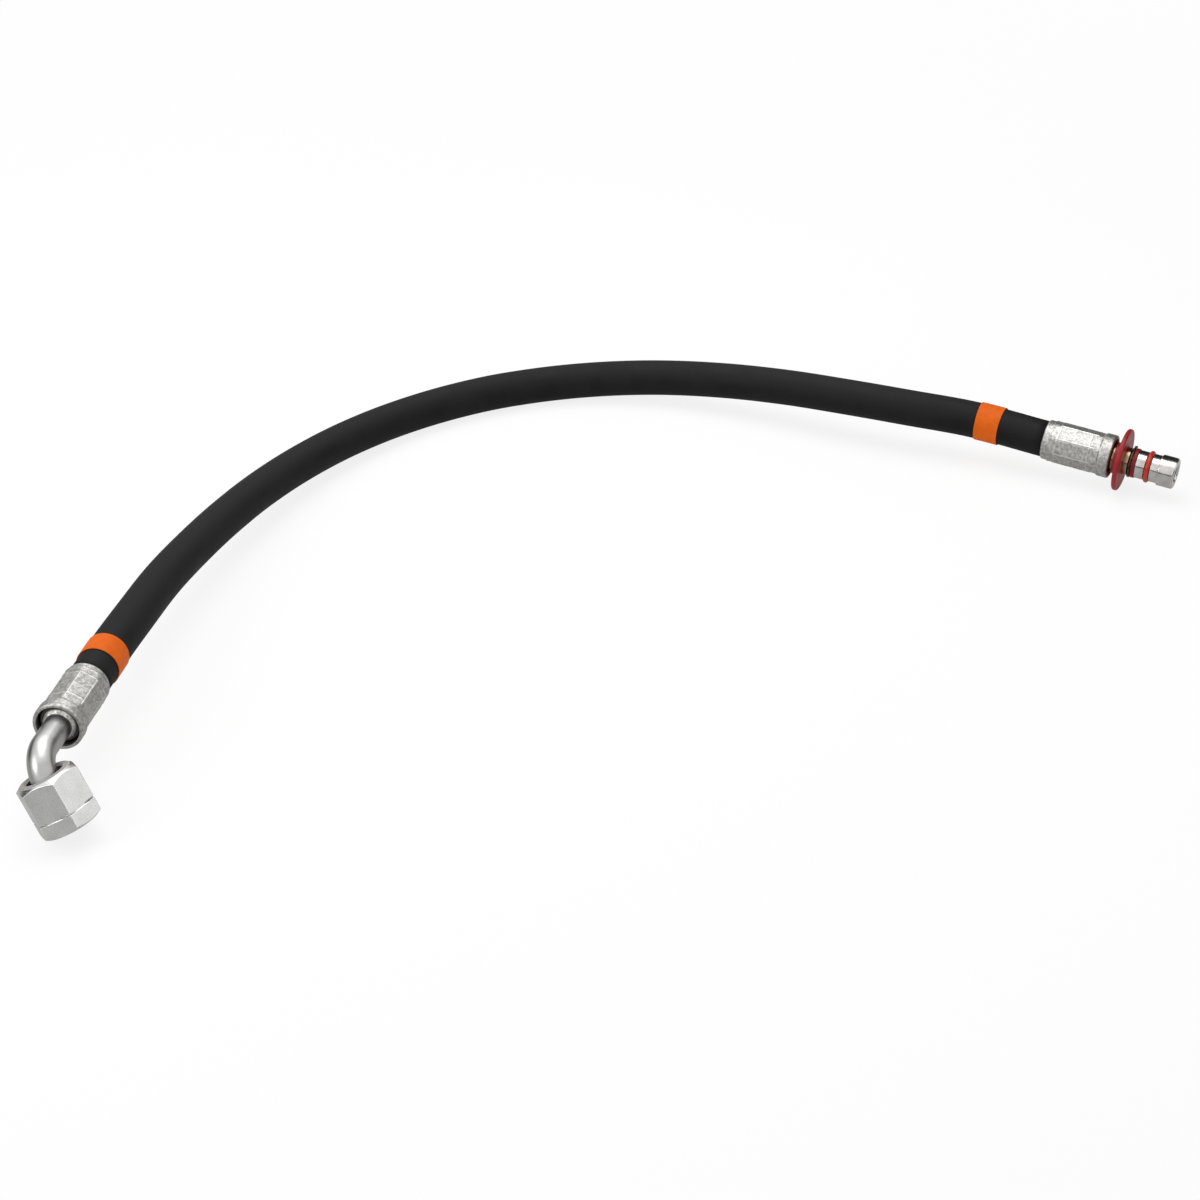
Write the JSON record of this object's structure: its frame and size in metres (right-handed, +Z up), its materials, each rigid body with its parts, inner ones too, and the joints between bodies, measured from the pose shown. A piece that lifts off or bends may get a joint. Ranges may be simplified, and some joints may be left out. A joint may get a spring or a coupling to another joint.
{
  "type": "hydraulic hose assembly",
  "caption": "Black hydraulic hose in a wide arc, with a swept elbow and loose hexagon swivel nut at one end and a push-in plug with a red release disc at the other.",
  "frame": {"origin": "on the floor that the part lies on, under the centre of the box round both end fittings, with the free hose and its bands left out", "axes": "+Z up from the floor, +X from the elbow end to the plug end, +Y towards the crown of the hose's arc"},
  "size_m": [0.6332, 0.5048, 0.0522],
  "materials": {
    "cover_rubber": "matte, fine cloth print",
    "braid_wire": "brass-coated wire",
    "liner_rubber": "matte",
    "band_orange": "matte",
    "ferrule_zinc": "dull zinc, mottled by the crimp",
    "tail_steel": "plated, dull",
    "braze_metal": "bright, rough",
    "tube_polished": "polished",
    "nut_satin": "satin, turned ends",
    "plug_steel": "turned, bright",
    "disc_plastic": "smooth",
    "wire_black": "blackened spring wire",
    "ring_dark_red": "smooth",
    "seal_red": "smooth"
  },
  "bodies": {
    "hose": {"hose_cover": "cover_rubber", "outer_braid": "braid_wire", "inner_braid": "braid_wire", "hose_liner": "liner_rubber", "cover_ends": "cover_rubber", "outer_braid_ends": "braid_wire", "inner_braid_ends": "braid_wire", "liner_ends": "liner_rubber", "elbow_band": "band_orange", "plug_band": "band_orange", "elbow_ferrule": "ferrule_zinc", "plug_ferrule": "ferrule_zinc", "elbow_tail": "tail_steel", "braze_ring": "braze_metal", "bent_tube": "tube_polished", "swivel_head": "tail_steel", "plug_body": "plug_steel", "stop_ring": "ring_dark_red", "seal_ring": "seal_red"},
    "swivel_nut": {"swivel_nut": "nut_satin"},
    "release_disc": {"release_disc": "disc_plastic"},
    "snap_ring": {"snap_ring": "wire_black"}
  },
  "joints": [
    {"name": "nut_spin", "type": "hinge", "parent": "hose", "child": "swivel_nut", "pos_m": [-0.29894, -0.18222, 0.02522], "axis": [0.436, -0.2353, -0.8687], "continuous": true},
    {"name": "disc_slide", "type": "slide", "parent": "hose", "child": "release_disc", "axis": [0.904, -0.4216, -0.0706], "range_m": [-0.0041, 0.003]},
    {"name": "snap_ring_spin", "type": "hinge", "parent": "hose", "child": "snap_ring", "pos_m": [0.28815, 0.16827, 0.01856], "axis": [0.904, -0.4216, -0.0706], "continuous": true}
  ]
}
